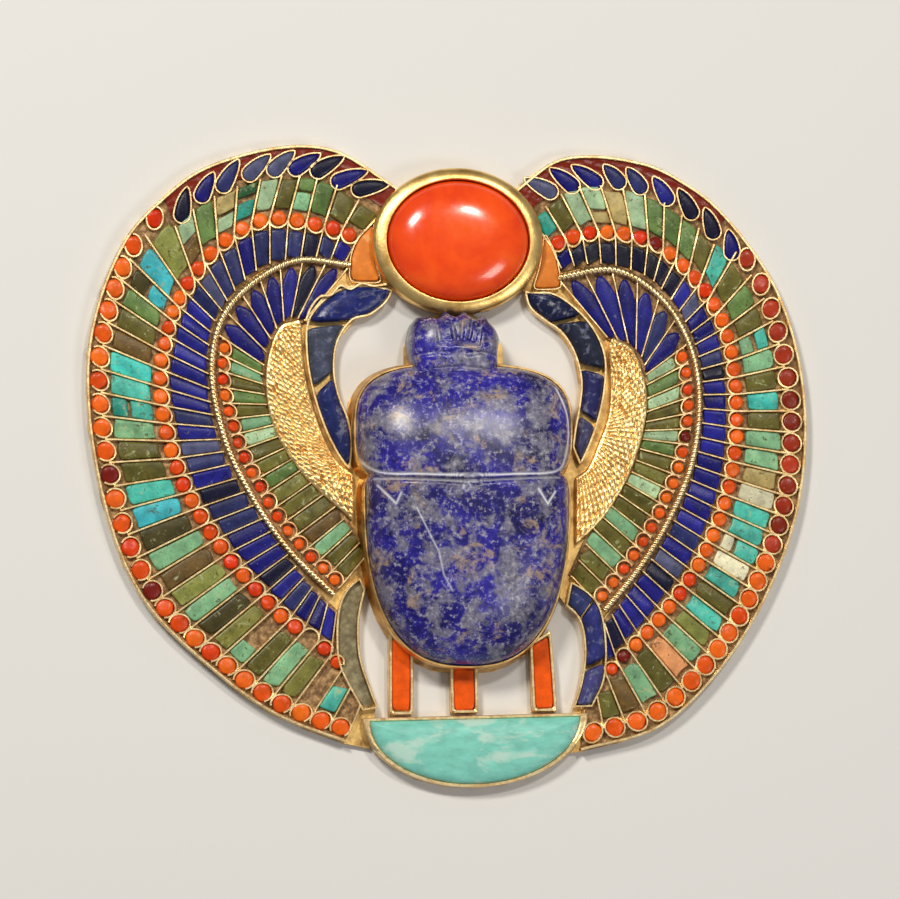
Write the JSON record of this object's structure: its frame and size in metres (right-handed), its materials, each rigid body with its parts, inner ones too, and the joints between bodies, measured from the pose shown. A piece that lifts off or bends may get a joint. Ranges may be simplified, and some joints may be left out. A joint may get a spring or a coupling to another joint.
{
  "type": "winged scarab pectoral",
  "caption": "Flat openwork breast ornament: a stone beetle between two upswept inlaid wings, under a domed disc and over a half-round basket. It lies on its plain back.",
  "frame": {"origin": "under the middle of the jewel, in the plane of its flat back", "axes": "+X across the wings, +Y from the basket to the disc, +Z out of the front face"},
  "size_m": [0.1049, 0.0928, 0.0129],
  "materials": {
    "gold": "worn polished gold",
    "scale_gold": "granulated gold",
    "lapis": "polished, mottled",
    "deep_lapis": "polished",
    "carnelian": "polished",
    "orange_stone": "satin",
    "green_stone": "satin",
    "turquoise": "satin",
    "bare_bed": "matt cement"
  },
  "bodies": {
    "root": {"back_plate": "gold", "left_wing_rim": "gold", "left_beaded_wire": "gold", "left_corner_inlay": "orange_stone", "left_covert": "scale_gold", "left_lapis_drops": "deep_lapis", "left_outer_discs": "carnelian", "left_shoulder_bars": "green_stone", "left_wing_bars": "turquoise", "left_second_discs": "carnelian", "left_lapis_bars": "lapis", "left_long_feathers": "lapis", "left_inner_discs": "carnelian", "left_inner_bars": "green_stone", "left_foreleg_cell": "gold", "left_foreleg_inlay_1": "lapis", "left_foreleg_inlay_2": "lapis", "left_foreleg_inlay_3": "lapis", "left_hind_leg_cell": "gold", "left_hind_leg_bare_bed": "bare_bed", "right_wing_rim": "gold", "right_beaded_wire": "gold", "right_corner_inlay": "orange_stone", "right_covert": "scale_gold", "right_lapis_drops": "deep_lapis", "right_outer_discs": "carnelian", "right_shoulder_bars": "green_stone", "right_wing_bars": "turquoise", "right_second_discs": "carnelian", "right_lapis_bars": "lapis", "right_long_feathers": "lapis", "right_inner_discs": "carnelian", "right_inner_bars": "green_stone", "right_foreleg_cell": "gold", "right_foreleg_inlay_1": "lapis", "right_foreleg_inlay_2": "lapis", "right_foreleg_inlay_3": "lapis", "right_foreleg_inlay_4": "lapis", "right_hind_leg_cell": "gold", "right_hind_leg_inlay_1": "lapis", "right_hind_leg_inlay_2": "lapis", "right_hind_leg_inlay_3": "lapis", "disc_ring": "gold", "sun_disc": "carnelian", "scarab_bezel": "gold", "scarab": "lapis", "basket_cell": "gold", "basket_inlay": "turquoise", "left_stroke_cell": "gold", "left_stroke_inlay": "carnelian", "middle_stroke_cell": "gold", "middle_stroke_inlay": "carnelian", "right_stroke_cell": "gold", "right_stroke_inlay": "carnelian"}
  },
  "joints": []
}
